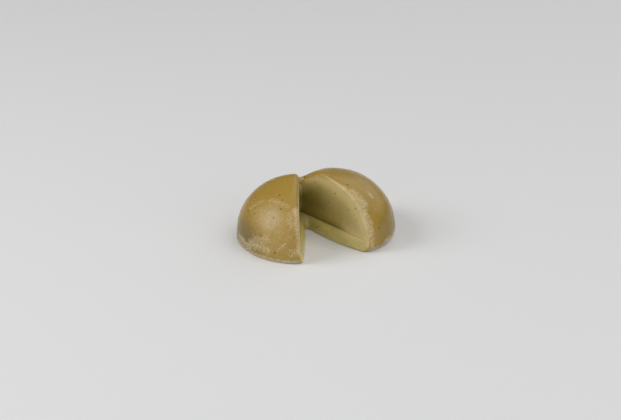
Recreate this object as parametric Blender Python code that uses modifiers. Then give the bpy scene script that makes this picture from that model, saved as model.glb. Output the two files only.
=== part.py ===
"""A mochi rice cake: a soft round cake of green tea rice dough with a green tea paste inside.

The cake has been cut down from the front, through the paste and the dough, and laid open like a
book on the dough that still joins it at the back. The two lobes show the paste on their cut faces,
and the thicker dough of the bottom stands out below it as a rounded step.

The cake stands on z = 0, centred on the origin. The cut opens towards -Y, the lobes lie along X.
"""

import math

import bmesh
import bpy

MM = 0.001

# The opened cake from above: a round dome whose halves have been spread apart along X. A
# squareness of 2 makes an ellipse, and more fills its corners.
LEFT_REACH = 33.2 * MM
RIGHT_REACH = 33.3 * MM
FRONT_REACH = 31.8 * MM
BACK_REACH = 25.2 * MM
SQUARENESS = 2.3
SPREAD = 2.9 * MM

# The dome from the side: its height, the height of its widest line, and the foot that draws in
# below it by a share of its reach, except on the left lobe's outer side, which stands straight.
# The foot goes on below z = 0, where the cake is cut off flat.
LEFT_HEIGHT = 31.4 * MM
RIGHT_HEIGHT = 28.2 * MM
LEFT_GIRTH_HEIGHT = 1.6 * MM
RIGHT_GIRTH_HEIGHT = 2.6 * MM
LEFT_FOOT_TUCK = 0.0
RIGHT_FOOT_TUCK = 0.2
FOOT_DEPTH = 1.5 * MM

# The fullness of the profile outwards and upwards: 2 and 2 make an ellipse, less is more pointed.
LEFT_OUTWARD, LEFT_UPWARD = 1.65, 2.5
RIGHT_OUTWARD, RIGHT_UPWARD = 2.45, 2.4

# The dip in the top where the dough bends behind the end of the cut.
DIP_DEPTH = 4.0 * MM
DIP_WIDTH = 6.5 * MM
DIP_BEHIND_CUT = 1.8 * MM

# Layers: the skin round the paste, the thick bottom, the floor of the hollow that holds the paste,
# and the clearance between dough and paste.
SKIN = 3.2 * MM
BOTTOM_LAYER = 5.6 * MM
HOLLOW_FLOOR = BOTTOM_LAYER + 0.2 * MM
CLEARANCE = 0.3 * MM

# The cut: its closed end above and below the step, how far each side swings from the middle, how
# far the bottom layer bulges into it, and how far its sides lean back at the top. The lean grows
# from nothing at the closed end to its full size over a length.
UPPER_END = (-0.9 * MM, 13.7 * MM)
LOWER_END = (-0.9 * MM, 9.4 * MM)
LEFT_SWING = math.radians(26.0)
RIGHT_SWING = math.radians(17.0)
LEFT_BULGE = 1.0 * MM
RIGHT_BULGE = 1.8 * MM
BULGE_LENGTH = 40.0 * MM
STEP_ROUND = 2.0 * MM
LEFT_LEAN = 0.8 * MM
RIGHT_LEAN = 0.6 * MM
LEAN_LENGTH = 30.0 * MM

# How the soft dough rounds over at its cut edges: a grid, smoothed so many times, then thinned.
GRAIN = 1.0 * MM
SMOOTHINGS = 8
KEPT_FACES = 0.16

# How finely the solids are faceted, and how far the cutters reach past the cake.
DOME_SEGMENTS, DOME_RINGS = 96, 36
PASTE_SEGMENTS, PASTE_RINGS = 56, 20
FOOT_SHARE = 0.12
CUT_POINTS = 13
CUT_LENGTH = 56.0 * MM
CUT_BOTTOM, CUT_TOP = -5.0 * MM, 40.0 * MM
SLAB_SIZE = (0.2, 0.2, 0.01)


def clamp(value):
    return max(0.0, min(1.0, value))


def mix(left, right, side):
    return left + (right - left) * side


def squared_off(part):
    """Push a cosine or sine outwards, which turns a round outline into a fuller one."""
    return math.copysign(abs(part) ** (2.0 / SQUARENESS), part)


def spread(x):
    return x + SPREAD * math.tanh(x / (1.5 * SPREAD))


def dip_at(x, y):
    behind_cut = UPPER_END[1] + DIP_BEHIND_CUT
    away = (x - UPPER_END[0]) ** 2 + (y - behind_cut) ** 2
    return DIP_DEPTH * math.exp(-away / (2.0 * DIP_WIDTH ** 2))


def dome_point(unit, inset, floor):
    """Carry a point of the unit sphere to the cake's outside, or to a shell inset from it.

    The upper half of the sphere makes the wall, down to the widest line or to a floor above it.
    The next rings make the foot, and the last ones close the underside at the floor.
    """
    side = 0.5 + 0.5 * math.tanh(4.0 * unit.x)
    height = mix(LEFT_HEIGHT, RIGHT_HEIGHT, side) - inset
    girth = mix(LEFT_GIRTH_HEIGHT, RIGHT_GIRTH_HEIGHT, side)
    tuck = mix(LEFT_FOOT_TUCK, RIGHT_FOOT_TUCK, clamp(2.0 * unit.x + 1.9))
    outward = mix(LEFT_OUTWARD, RIGHT_OUTWARD, side)
    upward = mix(LEFT_UPWARD, RIGHT_UPWARD, side)

    down = math.acos(max(-1.0, min(1.0, unit.z))) / math.pi
    wall = clamp(down / 0.5)
    foot = clamp((down - 0.5) / FOOT_SHARE)
    under = clamp((down - 0.5 - FOOT_SHARE) / (0.5 - FOOT_SHARE))

    wall_end = max(floor, girth)
    turn = wall * math.acos(((wall_end - girth) / (height - girth)) ** (upward / 2.0))
    radius = math.sin(turn) ** (2.0 / outward) * (1.0 - tuck * foot ** 2) * (1.0 - under)
    z = girth + (height - girth) * math.cos(turn) ** (2.0 / upward) + (floor - wall_end) * foot

    longitude = math.atan2(unit.y, unit.x)
    reach_x = (RIGHT_REACH if unit.x > 0.0 else LEFT_REACH) - inset
    reach_y = (BACK_REACH if unit.y > 0.0 else FRONT_REACH) - inset
    x = spread(reach_x * radius * squared_off(math.cos(longitude)))
    y = reach_y * radius * squared_off(math.sin(longitude))
    return x, y, z - dip_at(x, y) * (z - floor) / (height - floor)


def new_object(name, bm, collection):
    bmesh.ops.recalc_face_normals(bm, faces=bm.faces)
    mesh = bpy.data.meshes.new(name)
    bm.to_mesh(mesh)
    bm.free()
    piece = bpy.data.objects.new(name, mesh)
    collection.objects.link(piece)
    return piece


def make_dome(name, inset, floor, segments, rings, collection):
    """A sphere carried to the shape of the whole dome, not yet cut."""
    bm = bmesh.new()
    bmesh.ops.create_uvsphere(bm, u_segments=segments, v_segments=rings, radius=1.0)
    for vert in bm.verts:
        vert.co = dome_point(vert.co, inset, floor)
    return new_object(name, bm, collection)


def step_out(z):
    """How far the bottom layer stands out at a height: 1 on its face, rounding to 0 on its top."""
    rise = clamp((z - BOTTOM_LAYER + STEP_ROUND) / STEP_ROUND)
    return math.sqrt(1.0 - rise ** 2)


def cut_side(swing, bulge, lean, z):
    """One side of the cut at a height, from its closed end out to the mouth."""
    out = step_out(z)
    above = clamp((z - BOTTOM_LAYER) / (RIGHT_HEIGHT - BOTTOM_LAYER))
    along_x, along_y = math.sin(swing), -math.cos(swing)
    inward_x, inward_y = math.copysign(1.0, swing) * along_y, -math.copysign(1.0, swing) * along_x
    points = []
    for i in range(CUT_POINTS):
        distance = CUT_LENGTH * i / (CUT_POINTS - 1)
        push = out * bulge * math.sin(math.pi * clamp(distance / BULGE_LENGTH))
        push -= lean * above ** 2 * clamp(distance / LEAN_LENGTH)
        x = mix(UPPER_END[0], LOWER_END[0], out) + along_x * distance + inward_x * push
        y = mix(UPPER_END[1], LOWER_END[1], out) + along_y * distance + inward_y * push
        points.append((x, y, z))
    return points


def make_cut(name, collection):
    """The opened space: a wedge lofted from outlines at a row of heights."""
    over_step = [math.sin(math.radians(turn)) for turn in (0, 30, 60, 90)]
    rounding = [BOTTOM_LAYER - STEP_ROUND * (1.0 - rise) for rise in over_step]
    above = [mix(BOTTOM_LAYER, RIGHT_HEIGHT, share) for share in (0.25, 0.5, 0.75, 1.0)]
    heights = [CUT_BOTTOM, *rounding, *above, CUT_TOP]
    bm = bmesh.new()
    rings = []
    for z in heights:
        left = cut_side(-LEFT_SWING, LEFT_BULGE, LEFT_LEAN, z)
        right = cut_side(RIGHT_SWING, RIGHT_BULGE, RIGHT_LEAN, z)
        rings.append([bm.verts.new(point) for point in left[:0:-1] + right])
    count = len(rings[0])
    for lower, upper in zip(rings, rings[1:]):
        for i in range(count):
            j = (i + 1) % count
            bm.faces.new((lower[i], lower[j], upper[j], upper[i]))
    bm.faces.new(rings[0])
    bm.faces.new(rings[-1])
    return new_object(name, bm, collection)


def make_slab(name, collection):
    """A block with its top at z = 0, which leaves the dough a flat underside."""
    bm = bmesh.new()
    bmesh.ops.create_cube(bm, size=1.0)
    bmesh.ops.scale(bm, vec=SLAB_SIZE, verts=bm.verts)
    bmesh.ops.translate(bm, vec=(0.0, 0.0, -0.5 * SLAB_SIZE[2]), verts=bm.verts)
    return new_object(name, bm, collection)


def cut_away(piece, cutter):
    boolean = piece.modifiers.new(cutter.name, "BOOLEAN")
    boolean.operation = "DIFFERENCE"
    boolean.solver = "EXACT"
    boolean.object = cutter
    cutter.hide_render = True
    cutter.display_type = "WIRE"


def soften(piece):
    """Round the sharp edges over, as soft dough does, and thin out the faces."""
    remesh = piece.modifiers.new("grain", "REMESH")
    remesh.mode = "VOXEL"
    remesh.voxel_size = GRAIN
    smooth = piece.modifiers.new("smoothing", "SMOOTH")
    smooth.factor = 0.5
    smooth.iterations = SMOOTHINGS
    decimate = piece.modifiers.new("thinning", "DECIMATE")
    decimate.ratio = KEPT_FACES


def add_material(piece, name, color, roughness, specular):
    material = bpy.data.materials.new(name)
    material.use_nodes = True
    shader = material.node_tree.nodes["Principled BSDF"]
    shader.inputs["Base Color"].default_value = (*color, 1.0)
    shader.inputs["Roughness"].default_value = roughness
    shader.inputs["Specular IOR Level"].default_value = specular
    shader.inputs["Metallic"].default_value = 0.0
    piece.data.materials.append(material)


def shade_smooth(piece):
    piece.data.shade_smooth()
    piece.data.set_sharp_from_angle(angle=math.radians(35.0))


def centre(pieces, solid):
    """Move the pieces so that the middle of one solid's box stands over the origin."""
    bpy.context.view_layer.update()
    mesh = solid.evaluated_get(bpy.context.evaluated_depsgraph_get()).data
    for axis in (0, 1):
        places = [vert.co[axis] for vert in mesh.vertices]
        middle = 0.5 * (min(places) + max(places))
        for piece in pieces:
            piece.location[axis] = -middle


for old in list(bpy.data.objects):
    bpy.data.objects.remove(old, do_unlink=True)

parts = bpy.data.collections.new("mochi_rice_cake")
cutters = bpy.data.collections.new("cutters")
bpy.context.scene.collection.children.link(parts)
bpy.context.scene.collection.children.link(cutters)

cut = make_cut("cut", cutters)
hollow = make_dome("hollow", SKIN, HOLLOW_FLOOR, PASTE_SEGMENTS, PASTE_RINGS, cutters)
slab = make_slab("slab", cutters)

dough = make_dome("rice_dough", 0.0, -FOOT_DEPTH, DOME_SEGMENTS, DOME_RINGS, parts)
cut_away(dough, cut)
soften(dough)
cut_away(dough, hollow)
cut_away(dough, slab)
add_material(dough, "rice_dough", (0.36, 0.25, 0.075), 0.5, 0.4)
shade_smooth(dough)

paste_inset, paste_floor = SKIN + CLEARANCE, HOLLOW_FLOOR + CLEARANCE
paste = make_dome("matcha_paste", paste_inset, paste_floor, PASTE_SEGMENTS, PASTE_RINGS, parts)
cut_away(paste, cut)
add_material(paste, "matcha_paste", (0.27, 0.25, 0.1), 0.75, 0.3)
shade_smooth(paste)

centre((dough, paste, cut, hollow, slab), dough)
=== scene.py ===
import math
import random

import bpy
from mathutils import Euler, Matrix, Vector, noise
from mathutils.bvhtree import BVHTree
from mathutils.geometry import intersect_point_line


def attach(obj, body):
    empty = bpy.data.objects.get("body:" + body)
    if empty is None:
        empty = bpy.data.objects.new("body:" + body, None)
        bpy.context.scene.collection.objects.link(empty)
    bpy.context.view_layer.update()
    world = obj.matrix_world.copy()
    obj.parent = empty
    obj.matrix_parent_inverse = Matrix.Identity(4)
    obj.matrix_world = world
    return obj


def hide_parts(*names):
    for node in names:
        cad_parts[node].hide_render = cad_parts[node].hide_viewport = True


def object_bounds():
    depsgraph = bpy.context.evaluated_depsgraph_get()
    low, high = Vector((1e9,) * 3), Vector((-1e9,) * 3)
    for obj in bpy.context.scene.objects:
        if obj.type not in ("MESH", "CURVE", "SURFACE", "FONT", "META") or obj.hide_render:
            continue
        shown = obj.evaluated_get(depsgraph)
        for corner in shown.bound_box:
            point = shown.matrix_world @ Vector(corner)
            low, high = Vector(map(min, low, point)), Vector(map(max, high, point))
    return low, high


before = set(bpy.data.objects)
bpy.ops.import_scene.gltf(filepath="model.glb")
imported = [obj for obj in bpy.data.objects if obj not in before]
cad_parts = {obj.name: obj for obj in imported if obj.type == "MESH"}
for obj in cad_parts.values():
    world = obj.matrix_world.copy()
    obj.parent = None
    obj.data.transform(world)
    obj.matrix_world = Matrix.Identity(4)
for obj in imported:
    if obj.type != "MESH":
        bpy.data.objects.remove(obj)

cad_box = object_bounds()
MM = 0.001


# The dough. Steamed rice dough kneaded with powdered green tea, rolled round the paste by hand: soft
# and satin, with shallow dents. A knife went down through its middle from the front, and the lobes
# were laid open like a book, their edges rounded over and the thick bottom standing out as a ledge.

# The cut: where it ends at the back, how far each lobe has swung open from it, the way into its
# open space from each side, and how far its sides lean in over it at the top.
CUT_END = Vector((-1.0, 16.6, 0.0)) * MM
LEFT_SWING, RIGHT_SWING = math.radians(26.0), math.radians(17.0)
LEFT_INTO_CUT = Vector((math.cos(LEFT_SWING), -math.sin(LEFT_SWING), 0.0))
RIGHT_INTO_CUT = Vector((-math.cos(RIGHT_SWING), -math.sin(RIGHT_SWING), 0.0))
LEDGE_HEIGHT = 5.6 * MM
CROWN_HEIGHT = cad_box[1].z
CUT_LEAN, LEAN_LENGTH = 0.7 * MM, 30.0 * MM
SKIN_THICKNESS = 3.2 * MM

# How soft the dough is: it is smoothed all over, and more along the edges of the cut, but stays
# crisp within SEAM_KEPT of the paste. Each kind of dent has a width and a depth.
DOUGH_MESH = 0.46 * MM
DOUGH_SMOOTHINGS = 22
EDGE_SMOOTHINGS = 36
EDGE_CORE, EDGE_REACH = 1.0 * MM, 3.4 * MM
SEAM_KEPT, SEAM_FADE = 0.5 * MM, 1.8 * MM
DENTS = ((11.0 * MM, 0.20 * MM), (4.5 * MM, 0.045 * MM), (1.6 * MM, 0.012 * MM))


def own_copy(node, name):
    """A piece of its own from a CAD node, its loose triangles merged into closed mesh."""
    bpy.ops.object.select_all(action="DESELECT")
    piece = bpy.data.objects.new(name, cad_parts[node].data.copy())
    bpy.context.collection.objects.link(piece)
    piece.data.materials.clear()
    bpy.context.view_layer.objects.active = piece
    piece.select_set(True)
    bpy.ops.object.mode_set(mode="EDIT")
    bpy.ops.mesh.select_all(action="SELECT")
    bpy.ops.mesh.remove_doubles(threshold=0.002 * MM)
    bpy.ops.object.mode_set(mode="OBJECT")
    return piece


def apply_modifier(piece, kind, **settings):
    """Put a modifier on a piece and make its result the piece's own mesh."""
    modifier = piece.modifiers.new(kind.lower(), kind)
    for key, value in settings.items():
        setattr(modifier, key, value)
    bpy.context.view_layer.objects.active = piece
    bpy.ops.object.modifier_apply(modifier=modifier.name)


def weigh(piece, group_name, weight_at):
    """Weigh every point of a piece, so that a modifier works more in one place than in another."""
    group = piece.vertex_groups.new(name=group_name)
    for vert in piece.data.vertices:
        group.add([vert.index], weight_at(vert.co), "REPLACE")


def push_out(piece, distance_at):
    """Move each point of the surface along its normal."""
    normals = [vert.normal.copy() for vert in piece.data.vertices]
    for vert, normal in zip(piece.data.vertices, normals):
        vert.co += normal * distance_at(vert.co)
    piece.data.update()


def paint(piece, name, value_at):
    """Keep a value for every point of the surface, for the material to read."""
    attribute = piece.data.attributes.new(name, "FLOAT", "POINT")
    values = [value_at(vert.co) for vert in piece.data.vertices]
    attribute.data.foreach_set("value", values)


dough = own_copy("rice_dough", "dough_lobes")
shapes = bpy.context.evaluated_depsgraph_get()
paste_solid = BVHTree.FromObject(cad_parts["matcha_paste"], shapes)
dough_solid = BVHTree.FromObject(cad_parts["rice_dough"], shapes)


def clamp(value):
    return max(0.0, min(1.0, value))


def ramp(value, start, end):
    """0 before start, 1 past end, and a soft rise between them."""
    share = clamp((value - start) / (end - start))
    return share * share * (3.0 - 2.0 * share)


def mix_by(value, start, end, first, last):
    """The first number before start, the last one past end, and a soft change between them."""
    return first + (last - first) * ramp(value, start, end)


def beside_cut(place):
    """How far a place lies from the open space of the cut: 0 on its sides, less within it."""
    from_end = Vector((place.x - CUT_END.x, place.y - CUT_END.y, 0.0))
    above = clamp((place.z - LEDGE_HEIGHT) / (CROWN_HEIGHT - LEDGE_HEIGHT))
    inside = min(from_end.dot(LEFT_INTO_CUT), from_end.dot(RIGHT_INTO_CUT))
    return -inside - CUT_LEAN * above ** 2 * clamp(from_end.length / LEAN_LENGTH)


def rough(place, size, seed=0.0):
    """Even noise between -1 and 1, with lumps of a size."""
    return noise.noise(place / size + Vector((seed, -seed, 0.5 * seed)))


def from_paste(place):
    """How far a place lies from the surface of the paste."""
    return paste_solid.find_nearest(place)[3]


def from_dough(place):
    """How far a place lies from the surface of the dough."""
    return dough_solid.find_nearest(place)[3]


def loose_from_seam(place):
    """0 where the dough meets the paste or the table, which stay crisp, and 1 further out."""
    return min(ramp(from_paste(place), SEAM_KEPT, SEAM_FADE), ramp(place.z, 0.1 * MM, 1.2 * MM))


def round_edge(place):
    """1 at the outer edges of the cut, less high on the left lobe, where the knife left them crisp."""
    share = 1.0
    if place.x < CUT_END.x:
        share = mix_by(place.z, 3.0 * MM, 9.0 * MM, 1.0, 0.15)
    share *= ramp(from_paste(place), SEAM_KEPT, SEAM_FADE)
    return share * (1.0 - ramp(abs(beside_cut(place)), EDGE_CORE, EDGE_REACH))


apply_modifier(dough, "REMESH", mode="VOXEL", voxel_size=DOUGH_MESH)
weigh(dough, "loose", loose_from_seam)
apply_modifier(dough, "SMOOTH", factor=0.5, iterations=DOUGH_SMOOTHINGS, vertex_group="loose")
weigh(dough, "edge", round_edge)
apply_modifier(dough, "SMOOTH", factor=0.5, iterations=EDGE_SMOOTHINGS, vertex_group="edge")


def dough_relief(place):
    """Shallow dents from handling, none of them at the seam with the paste."""
    dents = sum(depth * rough(place, size, 3.0) for size, depth in DENTS)
    return dents * loose_from_seam(place)


push_out(dough, dough_relief)
dough.data.shade_smooth()

# What the dough's surface is like from place to place is painted on it, for the material to read.
# Starch from the work table has stuck as a thin film, and the streaks also carry painted highlights: the
# broad patch high on the left lobe and the streaks along the rounded edges of the cut are painted
# highlight over starch. For each streak: its two ends, how far it reaches to its sides, and how strong
# it is.
STARCH_AND_HIGHLIGHT_FILMS = (
    ((-28.3, -8.5, 19.2), (-28.5, -12.0, 17.2), 4.4, 0.38),
    ((-34.6, -7.0, 7.0), (-31.6, -13.4, 10.2), 3.0, 0.50),
    ((-35.4, -4.5, 5.0), (-34.0, -10.0, 5.6), 2.5, 0.75),
    ((-34.0, -10.0, 5.6), (-32.0, -14.4, 5.2), 2.3, 0.65),
    ((-24.0, -23.3, 5.6), (-20.8, -24.4, 6.4), 2.0, 0.60),
    ((-30.0, -7.0, 18.0), (-28.0, -16.0, 13.0), 10.0, 0.20),
    ((-31.3, 4.5, 17.9), (-27.2, 0.4, 22.2), 1.4, 0.30),
    ((-24.9, -3.1, 23.6), (-22.7, -7.8, 24.0), 1.4, 0.40),
    ((-22.0, -9.5, 24.0), (-20.5, -12.4, 23.5), 1.3, 0.30),
    ((-21.0, -16.5, 20.5), (-22.0, -19.0, 17.5), 2.6, 0.40),
    ((-17.6, -15.4, 22.4), (-20.2, -21.2, 15.0), 1.7, 1.35),
    ((-20.2, -21.2, 15.0), (-21.5, -24.2, 6.0), 1.1, 0.80),
    ((-18.4, 12.8, 25.5), (-16.7, 10.1, 27.2), 1.1, 0.55),
    ((-28.9, -18.7, 6.1), (-26.0, -20.8, 9.8), 0.5, 0.65),
    ((-35.8, 6.5, 4.2), (-35.6, -4.0, 3.0), 1.7, 0.80),
    ((3.0, 5.5, 25.0), (8.0, -10.5, 25.8), 1.6, 0.75),
    ((10.2, -15.0, 25.0), (13.0, -20.0, 21.8), 3.0, 0.70),
    ((11.8, -21.0, 19.8), (12.8, -25.0, 13.0), 2.2, 0.85),
    ((14.0, -25.5, 14.2), (13.9, -27.3, 8.5), 1.4, 0.90),
    ((14.1, -27.5, 6.2), (13.7, -27.6, 3.0), 1.6, 0.55),
    ((23.0, -24.0, 2.6), (32.0, -12.5, 2.6), 2.4, 0.70),
    ((18.8, -13.8, 23.4), (19.6, -16.3, 21.8), 0.9, 1.00),
)


def on_cut(place):
    """1 on the bare dough inside the cut. The skin rolls over its outer edge, furthest at the back
    of the right lobe and at the top of the left one."""
    rolled = mix_by(place.y, -10.0 * MM, 13.0 * MM, 0.1 * MM, 1.5 * MM)
    if place.x < CUT_END.x:
        rolled = mix_by(place.z, 7.0 * MM, 15.0 * MM, 0.2 * MM, 1.5 * MM)
    rolled += 0.25 * MM * rough(place, 2.5 * MM, 1.0)
    past_edge = beside_cut(place) + 0.5 * (from_paste(place) - SKIN_THICKNESS) + rolled
    return 1.0 - ramp(past_edge, -0.1 * MM, 1.1 * MM)


def smeared(place):
    """1 where the knife drew dough and paste over each other: all round the paste at the front, and
    along its upper edge further back."""
    rough_edge = 0.3 * MM * rough(place, 2.0 * MM, 4.0)
    within = 1.0 - ramp(from_dough(place) + rough_edge, 0.3 * MM, 6.0 * MM)
    beyond = 1.0 - ramp(from_paste(place) + rough_edge, 2.6 * MM, 4.6 * MM)
    open_side = max(ramp(place.z, 8.0 * MM, 13.0 * MM), ramp(-place.y, 6.0 * MM, 16.0 * MM))
    return min(within, beyond) * open_side


def starch_and_sheen(place):
    """How thick the pale film is: starch along the foot, which sat in starch, and starch with painted
    highlight in the streaks.
    """
    ragged = 0.35 * rough(place, 1.7 * MM, 9.0)
    bare = on_cut(place)
    film_and_sheen = 1.0 - ramp(place.z + 0.6 * MM * rough(place, 3.0 * MM), 0.7 * MM, 2.4 * MM)
    film_and_sheen *= 0.7 - 0.45 * bare
    for start, end, reach, strength in STARCH_AND_HIGHLIGHT_FILMS:
        start, end = Vector(start) * MM, Vector(end) * MM
        along = clamp(intersect_point_line(place, start, end)[1])
        away = (place - start.lerp(end, along)).length / (reach * MM) + ragged
        film_and_sheen = max(film_and_sheen, strength * (1.0 - ramp(away, 0.2, 1.3)))
    return film_and_sheen


def flank_shade(place):
    """Painted shade: 1 low on the left flank and about half of that low on the front right one, where
    the skin is painted dark to stand for the shade there."""
    left = ramp(-place.x, 31.5 * MM, 36.0 * MM)
    right = 0.55 * ramp(0.8 * place.x - 0.6 * place.y, 27.0 * MM, 33.0 * MM)
    return max(left, right) * (1.0 - ramp(place.z, 10.0 * MM, 24.0 * MM))


def cut_shade(place):
    """Painted shade: 1 low in the back of the cut, where little light reaches, and a little less along
    the foot of the paste, in the crease above the ledge."""
    back = ramp(place.y, -3.0 * MM, 8.0 * MM) * (1.0 - ramp(place.z, 13.0 * MM, 21.0 * MM))
    foot = 1.0 - ramp(place.z - LEDGE_HEIGHT, 0.3 * MM, 3.5 * MM)
    foot *= 1.0 - ramp(from_paste(place), 0.3 * MM, 1.6 * MM)
    foot *= 1.0 - ramp(-place.y, 7.0 * MM, 18.0 * MM)
    return max(back, 0.8 * foot)


paint(dough, "on_cut", on_cut)
paint(dough, "smeared", smeared)
paint(dough, "starch_and_sheen", starch_and_sheen)
paint(dough, "flank_shade", flank_shade)
paint(dough, "cut_shade", cut_shade)


def add_node(tree, kind, inputs=None, **settings):
    """A shader node with its settings, its sockets given numbers or linked to other sockets."""
    node = tree.nodes.new(kind)
    for key, value in settings.items():
        setattr(node, key, value)
    for key, value in (inputs or {}).items():
        if isinstance(value, bpy.types.NodeSocket):
            tree.links.new(value, node.inputs[key])
        else:
            node.inputs[key].default_value = value
    return node


def new_material(name):
    """A material with nothing but a shader and its output, and the places to hang patterns on."""
    material = bpy.data.materials.new(name)
    material.use_nodes = True
    tree = material.node_tree
    shader = tree.nodes["Principled BSDF"]
    places = add_node(tree, "ShaderNodeTexCoord").outputs["Object"]
    return material, tree, shader, places


def speckle(tree, places, size, detail=2.0):
    """Noise with lumps of a size, around 0.5."""
    inputs = {"Vector": places, "Scale": 1.0 / size, "Detail": detail}
    return add_node(tree, "ShaderNodeTexNoise", inputs).outputs["Fac"]


def rise(tree, value, low, high, to_low=0.0, to_high=1.0):
    """Take a value's range from low to high to another range, held at its ends."""
    inputs = {"Value": value, "From Min": low, "From Max": high, "To Min": to_low, "To Max": to_high}
    return add_node(tree, "ShaderNodeMapRange", inputs).outputs["Result"]


def blend(tree, share, first, second):
    """The first color at a share of 0, the second at 1."""
    inputs = {0: share, 6: first, 7: second}
    return add_node(tree, "ShaderNodeMix", inputs, data_type="RGBA").outputs[2]


def times(tree, first, second):
    """The product of two values."""
    return add_node(tree, "ShaderNodeMath", {0: first, 1: second}, operation="MULTIPLY").outputs[0]


def kept(tree, name):
    """A value that was painted on the piece."""
    return add_node(tree, "ShaderNodeAttribute", attribute_name=name).outputs["Fac"]


def bump(tree, height, depth, strength=1.0):
    """A relief too fine for the mesh, of a depth."""
    inputs = {"Height": height, "Distance": depth, "Strength": strength}
    return add_node(tree, "ShaderNodeBump", inputs).outputs["Normal"]


def color(red, green, blue):
    return (red, green, blue, 1.0)


SKIN, WARM_SKIN, DEEP_SKIN = color(0.44, 0.29, 0.05), color(0.45, 0.28, 0.055), color(0.36, 0.235, 0.04)
# The next colour is painted shade, for the dark low flanks.
FLANK_SHADE_SKIN = color(0.20, 0.135, 0.01)
CUT_DOUGH, GREEN_DOUGH = color(0.66, 0.55, 0.19), color(0.56, 0.49, 0.16)
# The second colour on the next line is painted shade, for the back of the cut and the paste's foot.
SMEARED, SHADED_DOUGH = color(0.62, 0.495, 0.21), color(0.50, 0.41, 0.14)
# The pale film colour is starch, and painted highlight in the bright streaks.
STARCH_AND_SHEEN = color(0.74, 0.60, 0.37)

CLOUDS, BLOTCHES, CUT_BLOTCHES = 14.0 * MM, 5.0 * MM, 6.0 * MM
STIPPLE, PORES, PORE_DEPTH = 0.42 * MM, 0.45 * MM, 0.07 * MM

dough_skin, tree, shader, places = new_material("rice_dough_skin")
tone = blend(tree, rise(tree, speckle(tree, places, CLOUDS), 0.35, 0.65), SKIN, WARM_SKIN)
tone = blend(tree, rise(tree, speckle(tree, places, BLOTCHES), 0.5, 0.8, 0.0, 0.6), tone, DEEP_SKIN)
# Painted shade: the skin is darkened low on the flanks.
tone = blend(tree, kept(tree, "flank_shade"), tone, FLANK_SHADE_SKIN)
inner = blend(tree, rise(tree, speckle(tree, places, CUT_BLOTCHES), 0.35, 0.65), CUT_DOUGH, GREEN_DOUGH)
# Painted shade on the bare cut dough, in the back of the cut and along the paste's foot.
inner = blend(tree, kept(tree, "cut_shade"), inner, SHADED_DOUGH)
inner = blend(tree, kept(tree, "smeared"), inner, SMEARED)
tone = blend(tree, kept(tree, "on_cut"), tone, inner)
stipple = rise(tree, speckle(tree, places, STIPPLE, 1.0), 0.45, 0.61, 0.1, 1.6)
# Starch film, with painted highlights in the streaks.
film_and_sheen = times(tree, kept(tree, "starch_and_sheen"), stipple)
tone = blend(tree, film_and_sheen, tone, STARCH_AND_SHEEN)
tree.links.new(tone, shader.inputs["Base Color"])
tree.links.new(rise(tree, film_and_sheen, 0.0, 0.8, 0.25, 0.6), shader.inputs["Roughness"])
tree.links.new(bump(tree, speckle(tree, places, PORES), PORE_DEPTH), shader.inputs["Normal"])
shader.inputs["Specular IOR Level"].default_value = 0.47
shader.inputs["Subsurface Weight"].default_value = 0.25
shader.inputs["Subsurface Radius"].default_value = (1.0, 0.7, 0.25)
shader.inputs["Subsurface Scale"].default_value = 2.0 * MM
dough.data.materials.append(dough_skin)

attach(dough, "root")
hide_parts("rice_dough")


# The paste. Sweet bean paste with powdered green tea, packed inside the dough and cut with it: a dense,
# dull, faintly grainy face on each lobe, with drag marks that the knife left from top to bottom. It
# fills the dough to the walls. A dark line parts it from the ledge below: the crease there, with painted
# shade along the paste's foot. It fades out towards the front, where the knife has smeared the two
# together.

# The paste swells into the dough by PASTE_SWELL, and drops into the ledge by less at the back than
# at the front. Its face stands proud of the cut by the first of PASTE_PROUD. The second is below 0,
# and sinks its border under the dough, so that no gap shows between the two.
PASTE_MESH = 0.36 * MM
PASTE_SWELL = 1.3 * MM
PASTE_DROP = (0.50 * MM, 0.10 * MM)
PASTE_PROUD = (0.03 * MM, -0.10 * MM)
PASTE_FLARE = 1.3 * MM
DRAG_WIDTH, DRAG_DEPTH = 1.3 * MM, 0.05 * MM
GRAIN_DEPTH = 0.05 * MM

paste = own_copy("matcha_paste", "paste_filling")
walls = [vert.normal.copy() for vert in paste.data.vertices]
for vert, normal in zip(paste.data.vertices, walls):
    for into_cut in (LEFT_INTO_CUT, RIGHT_INTO_CUT):
        facing = normal.dot(into_cut)
        if abs(beside_cut(vert.co)) < 0.5 * MM and facing > 0.2:
            normal = normal - into_cut * facing
    drop = mix_by(vert.co.y, -14.0 * MM, 0.0, *PASTE_DROP)
    vert.co += Vector((normal.x * PASTE_SWELL, normal.y * PASTE_SWELL, 0.0))
    vert.co.z += normal.z * (PASTE_SWELL if normal.z > 0.0 else drop)

apply_modifier(paste, "REMESH", mode="VOXEL", voxel_size=PASTE_MESH)
apply_modifier(paste, "SMOOTH", factor=0.5, iterations=3)


def paste_relief(place):
    """Grain, and shallow drag marks that run up the cut face. Its border sinks into the dough, and
    at the front its foot flares out over the ledge."""
    proud = mix_by(from_paste(place), 0.1 * MM, PASTE_SWELL, *PASTE_PROUD)
    low = 1.0 - clamp((place.z - LEDGE_HEIGHT) / (1.5 * PASTE_FLARE))
    flare = PASTE_FLARE * low ** 2.5 * ramp(-place.y, 9.0 * MM, 21.0 * MM)
    along = Vector((place.x, place.y, 0.12 * place.z))
    drag = DRAG_DEPTH * rough(along, DRAG_WIDTH, 7.0)
    grain = GRAIN_DEPTH * rough(place, 1.1 * MM, 2.0) + GRAIN_DEPTH * rough(place, 4.0 * MM, 5.0)
    return proud + flare + (drag + grain) * ramp(from_dough(place), 0.2 * MM, 2.0 * MM)


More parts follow.
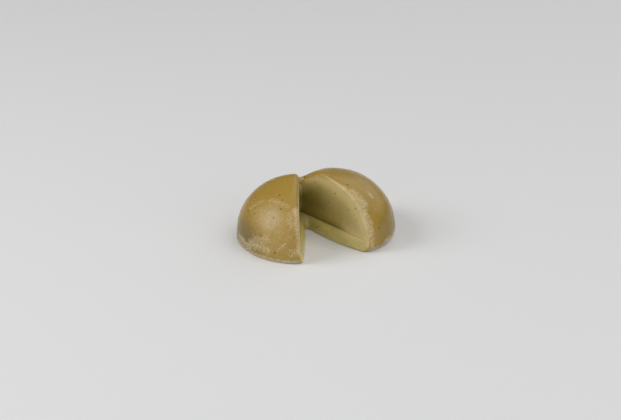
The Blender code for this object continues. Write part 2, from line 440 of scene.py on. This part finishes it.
def lit_and_dried(place):
    """How far the paste is paler, from drying and from painted light: most at the front, which lies open
    to the lamps, and less so along its top.
    """
    front = 0.8 * ramp(-place.y, 4.0 * MM, 19.0 * MM)
    top = 0.5 * ramp(place.z, 9.0 * MM, 19.0 * MM) * ramp(-place.y, -7.0 * MM, 2.0 * MM)
    return max(front, top)


push_out(paste, paste_relief)
paste.data.shade_smooth()
paint(paste, "smeared", smeared)
paint(paste, "lit_and_dried", lit_and_dried)
paint(paste, "cut_shade", cut_shade)

PASTE, DARK_PASTE = color(0.43, 0.335, 0.095), color(0.37, 0.295, 0.08)
# The pale paste colour is crumbs, and painted light at the front and along the top.
PALE_PASTE = color(0.53, 0.42, 0.19)
# The first colour on the next line is painted shade, for the back of the cut and the paste's foot.
SHADED_PASTE, TEA_POWDER = color(0.28, 0.225, 0.045), color(0.20, 0.16, 0.04)

PASTE_CLOUDS, CRUMBS, POWDER_GRAINS, PASTE_PORES = 7.0 * MM, 0.9 * MM, 0.28 * MM, 0.4 * MM

paste_face, tree, shader, places = new_material("matcha_paste_face")
tone = blend(tree, rise(tree, speckle(tree, places, PASTE_CLOUDS), 0.35, 0.65), PASTE, DARK_PASTE)
tone = blend(tree, rise(tree, speckle(tree, places, CRUMBS), 0.55, 0.75, 0.0, 0.6), tone, PALE_PASTE)
# Paler at the front and along the top: partly drier paste, partly painted light.
tone = blend(tree, kept(tree, "lit_and_dried"), tone, PALE_PASTE)
# Painted shade on the paste, in the back of the cut and along its foot.
tone = blend(tree, kept(tree, "cut_shade"), tone, SHADED_PASTE)
powder = rise(tree, speckle(tree, places, POWDER_GRAINS), 0.55, 0.66, 0.0, 0.5)
tone = blend(tree, powder, tone, TEA_POWDER)
tone = blend(tree, kept(tree, "smeared"), tone, SMEARED)
tree.links.new(tone, shader.inputs["Base Color"])
tree.links.new(bump(tree, speckle(tree, places, PASTE_PORES), GRAIN_DEPTH, 0.7), shader.inputs["Normal"])
shader.inputs["Roughness"].default_value = 0.62
shader.inputs["Specular IOR Level"].default_value = 0.3
shader.inputs["Subsurface Weight"].default_value = 0.15
shader.inputs["Subsurface Radius"].default_value = (1.0, 0.8, 0.3)
shader.inputs["Subsurface Scale"].default_value = 1.0 * MM
paste.data.materials.append(paste_face)

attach(paste, "root")
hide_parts("matcha_paste")


# The tea specks. Coarse bits of leaf that the mill left in the tea powder, kneaded in with the
# dough and the paste: a few bold dark ones lie bare on the skin and the cut, many fine ones show
# as pinpricks.

# Where the bold and the plain specks lie, and how large each kind is. The fine ones lie by chance,
# and each speck is sunk by a share of its size.
BOLD_SPECKS = (
    (-20.8, -4.3, 25.9), (-23.5, -11.1, 22.3), (-32.1, 4.5, 16.8), (-29.8, -17.9, 4.7),
    (0.4, 13.9, 23.4), (10.6, -9.6, 27.0), (18.4, -25.4, 10.6), (3.8, 1.3, 6.5),
)
PLAIN_SPECKS = (
    (-21.3, -7.6, 24.9), (-31.6, -0.8, 17.5), (-27.3, -11.7, 18.9), (-32.8, -10.5, 10.7),
    (2.5, 6.7, 23.4), (6.3, -6.0, 22.1), (8.7, -14.4, 17.1), (10.1, -18.7, 18.9),
    (7.3, -10.2, 11.2), (1.5, 1.2, 4.1), (0.9, 2.2, 3.2), (-24.3, -23.0, 5.3), (15.7, -22.9, 17.7),
    (23.4, -18.2, 17.9), (10.2, -19.6, 13.5), (5.0, -2.2, 16.6), (12.0, 9.0, 27.0), (24.0, 8.0, 20.0),
    (-12.0, 17.0, 22.0), (30.0, -4.0, 12.0), (-4.0, 25.0, 12.0), (-25.0, 15.0, 15.0),
)
BOLD_SPECK, PLAIN_SPECK = 0.55 * MM, 0.40 * MM
FINE_SPECKS = 700
FINE_SPECK = (0.11 * MM, 0.22 * MM)
SPECKS_IN_DOUGH = 0.65
SPECK_SUNK = 0.1


def make_grain(name, flatness, unevenness, seed):
    """One grain of unit radius: a small ball, flattened and made uneven."""
    bpy.ops.object.select_all(action="DESELECT")
    bpy.ops.mesh.primitive_ico_sphere_add(subdivisions=1, radius=1.0)
    grain = bpy.context.object
    grain.name = name
    bpy.ops.object.mode_set(mode="EDIT")
    bpy.ops.transform.vertex_random(offset=unevenness, seed=seed)
    bpy.ops.transform.resize(value=(1.0, 0.8, flatness))
    bpy.ops.object.mode_set(mode="OBJECT")
    return grain


def scatter(name, grain, spots, seed):
    """One mesh of many grains, each laid on its spot: a place, the way out from it and a size."""
    chance = random.Random(seed)
    points = bpy.data.meshes.new(name)
    points.from_pydata([place for place, outward, size in spots], [], [])
    turns, sizes = [], []
    for place, outward, size in spots:
        lie = outward.to_track_quat("Z", "Y")
        spin = Euler((0.0, 0.0, chance.uniform(0.0, 2.0 * math.pi))).to_quaternion()
        turns.extend((lie @ spin).to_euler())
        sizes.append(size)
    points.attributes.new("turn", "FLOAT_VECTOR", "POINT").data.foreach_set("vector", turns)
    points.attributes.new("size", "FLOAT", "POINT").data.foreach_set("value", sizes)
    piece = bpy.data.objects.new(name, points)
    bpy.context.collection.objects.link(piece)

    tree = bpy.data.node_groups.new(name, "GeometryNodeTree")
    tree.interface.new_socket("Geometry", in_out="INPUT", socket_type="NodeSocketGeometry")
    tree.interface.new_socket("Geometry", in_out="OUTPUT", socket_type="NodeSocketGeometry")
    start = tree.nodes.new("NodeGroupInput")
    one = add_node(tree, "GeometryNodeObjectInfo", {"Object": grain})
    turn = add_node(tree, "GeometryNodeInputNamedAttribute", {"Name": "turn"}, data_type="FLOAT_VECTOR")
    size = add_node(tree, "GeometryNodeInputNamedAttribute", {"Name": "size"}, data_type="FLOAT")
    laid = {"Points": start.outputs[0], "Instance": one.outputs["Geometry"],
            "Rotation": turn.outputs["Attribute"], "Scale": size.outputs["Attribute"]}
    copies = add_node(tree, "GeometryNodeInstanceOnPoints", laid)
    real = add_node(tree, "GeometryNodeRealizeInstances", {"Geometry": copies.outputs["Instances"]})
    end = tree.nodes.new("NodeGroupOutput")
    tree.links.new(real.outputs["Geometry"], end.inputs[0])
    apply_modifier(piece, "NODES", node_group=tree)
    piece.data.materials.clear()
    bpy.data.objects.remove(grain, do_unlink=True)
    return piece


def surface_of(piece):
    """A finished piece's surface, to be searched for places."""
    return BVHTree.FromObject(piece, bpy.context.evaluated_depsgraph_get())


surfaces = [surface_of(dough), surface_of(paste)]


def spot_near(place, size, sunk):
    """The nearest place on the cake's surface, with its way out, sunk by a share of the size."""
    hits = [surface.find_nearest(place) for surface in surfaces]
    nearest, outward = min(hits, key=lambda hit: hit[3])[:2]
    return nearest - outward * (size * sunk), outward, size


def is_open(place, outward):
    """Whether nothing stands over a place, so that it can be seen."""
    start = place + outward * 0.3 * MM
    return all(surface.ray_cast(start, outward, 5.0 * MM)[0] is None for surface in surfaces)


chance = random.Random(11)
spots = [spot_near(Vector(place) * MM, BOLD_SPECK, SPECK_SUNK) for place in BOLD_SPECKS]
spots += [spot_near(Vector(place) * MM, PLAIN_SPECK, SPECK_SUNK) for place in PLAIN_SPECKS]
while len(spots) < len(BOLD_SPECKS) + len(PLAIN_SPECKS) + FINE_SPECKS:
    piece = dough if chance.random() < SPECKS_IN_DOUGH else paste
    vert = piece.data.vertices[chance.randrange(len(piece.data.vertices))]
    size = chance.uniform(*FINE_SPECK)
    if vert.co.z > 0.5 * MM and is_open(vert.co, vert.normal):
        spots.append((vert.co - vert.normal * size * SPECK_SUNK, vert.normal.copy(), size))
leaf_bit = make_grain("speck", flatness=0.5, unevenness=0.25, seed=4)
specks = scatter("tea_specks", leaf_bit, spots, seed=12)

speck_leaf, tree, shader, places = new_material("tea_leaf_specks")
BLACK_LEAF, BROWN_LEAF = color(0.015, 0.01, 0.003), color(0.05, 0.035, 0.01)
tone = blend(tree, speckle(tree, places, 1.0 * MM), BLACK_LEAF, BROWN_LEAF)
tree.links.new(tone, shader.inputs["Base Color"])
shader.inputs["Roughness"].default_value = 0.6
specks.data.materials.append(speck_leaf)

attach(specks, "root")


# The loose starch. Dry potato starch that the cake was set down in: it clings round the foot as a
# crumbling, patchy rim, and a few grains lie scattered on the skin.

# The rim ends at RIM_TOP. Above it a grain is as likely as GRAINS_IN_FILM where the film is full and
# as STRAY_GRAINS where there is none. Each stands out from the skin by a share of its size.
STARCH_GRAINS = 4600
STARCH_GRAIN = (0.10 * MM, 0.23 * MM)
RIM_TOP = 2.6 * MM
GRAINS_IN_FILM, STRAY_GRAINS = 0.12, 0.002
GRAIN_PROUD = 0.2


def starch_chance(place):
    """How likely a grain is at a place: nearly sure low on the foot, rare higher up."""
    patchy = 0.6 + 0.8 * rough(place, 4.0 * MM, 9.0)
    rim = (1.0 - ramp(place.z, 0.5 * MM, RIM_TOP)) * clamp(patchy)
    return max(rim, GRAINS_IN_FILM * starch_and_sheen(place), STRAY_GRAINS)


chance = random.Random(21)
spots = []
while len(spots) < STARCH_GRAINS:
    vert = dough.data.vertices[chance.randrange(len(dough.data.vertices))]
    outside = beside_cut(vert.co) > 0.5 * MM
    off_table = vert.co.z > 0.15 * MM and vert.normal.z > -0.9
    if not (outside and off_table and chance.random() < starch_chance(vert.co)):
        continue
    if is_open(vert.co, vert.normal):
        size = chance.uniform(*STARCH_GRAIN)
        spots.append((vert.co + vert.normal * size * GRAIN_PROUD, vert.normal.copy(), size))
starch_grain = make_grain("grain", flatness=0.8, unevenness=0.3, seed=5)
starch = scatter("starch_grains", starch_grain, spots, seed=22)

starch_dust, tree, shader, places = new_material("potato_starch")
height = add_node(tree, "ShaderNodeSeparateXYZ", {"Vector": places}).outputs["Z"]
DRY_STARCH, STICKY_STARCH = color(0.76, 0.69, 0.55), color(0.67, 0.54, 0.34)
tone = blend(tree, rise(tree, height, 2.0 * MM, 4.0 * MM), DRY_STARCH, STICKY_STARCH)
tree.links.new(tone, shader.inputs["Base Color"])
shader.inputs["Roughness"].default_value = 0.9
starch.data.materials.append(starch_dust)

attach(starch, "root")


# The room. A plain pale table, with a softbox behind on the left, broad ones in front and on the
# right, a low one at the front left and one overhead. The cake is seen from the front left, a little
# from above, with a long lens.

bpy.ops.object.select_all(action="DESELECT")
bpy.ops.mesh.primitive_plane_add(size=6.0)
table = bpy.context.object
table.name = "table"
table_top, tree, shader, places = new_material("pale_table")
shader.inputs["Base Color"].default_value = color(0.86, 0.86, 0.86)
shader.inputs["Roughness"].default_value = 0.9
table.data.materials.append(table_top)


def direction(azimuth, elevation):
    """The way from the cake to something at a bearing from its front and a height, in degrees."""
    turn, lift = math.radians(azimuth), math.radians(elevation)
    return Vector((math.sin(turn) * math.cos(lift), -math.cos(turn) * math.cos(lift), math.sin(lift)))


def softbox(name, azimuth, elevation, distance, width, height, power):
    """A flat soft light that faces the cake, measured in degrees, metres and watts."""
    light = bpy.data.lights.new(name, "AREA")
    light.shape = "RECTANGLE"
    light.size, light.size_y = width, height
    light.energy = power
    lamp = bpy.data.objects.new(name, light)
    bpy.context.collection.objects.link(lamp)
    outward = direction(azimuth, elevation)
    lamp.location = outward * distance
    lamp.rotation_euler = outward.to_track_quat("Z", "Y").to_euler()


softbox("left_box", -108.0, 37.0, 1.0, 0.62, 0.62, 4.4)
softbox("front_box", 18.0, 42.0, 1.0, 1.3, 1.3, 5.4)
softbox("right_box", 112.0, 42.0, 1.0, 1.2, 1.2, 2.9)
softbox("low_box", -52.0, 18.0, 1.2, 1.0, 0.6, 1.1)
softbox("overhead", 0.0, 88.0, 1.2, 1.0, 1.0, 2.0)

world = bpy.data.worlds.new("room")
world.use_nodes = True
world.node_tree.nodes["Background"].inputs["Color"].default_value = color(1.0, 1.0, 1.0)
world.node_tree.nodes["Background"].inputs["Strength"].default_value = 0.05
bpy.context.scene.world = world
bpy.context.scene.view_settings.view_transform = "Standard"

VIEW_FROM = direction(-25.88, 23.93)
AIM = Vector((0.27, 7.54, 9.78)) * MM
AWAY = 1.7
camera_data = bpy.data.cameras.new("camera")
camera_data.lens = 216.8
camera_data.sensor_width = 36.0
camera = bpy.data.objects.new("camera", camera_data)
bpy.context.collection.objects.link(camera)
camera.location = AIM + VIEW_FROM * AWAY
camera.rotation_euler = VIEW_FROM.to_track_quat("Z", "Y").to_euler()
bpy.context.scene.camera = camera
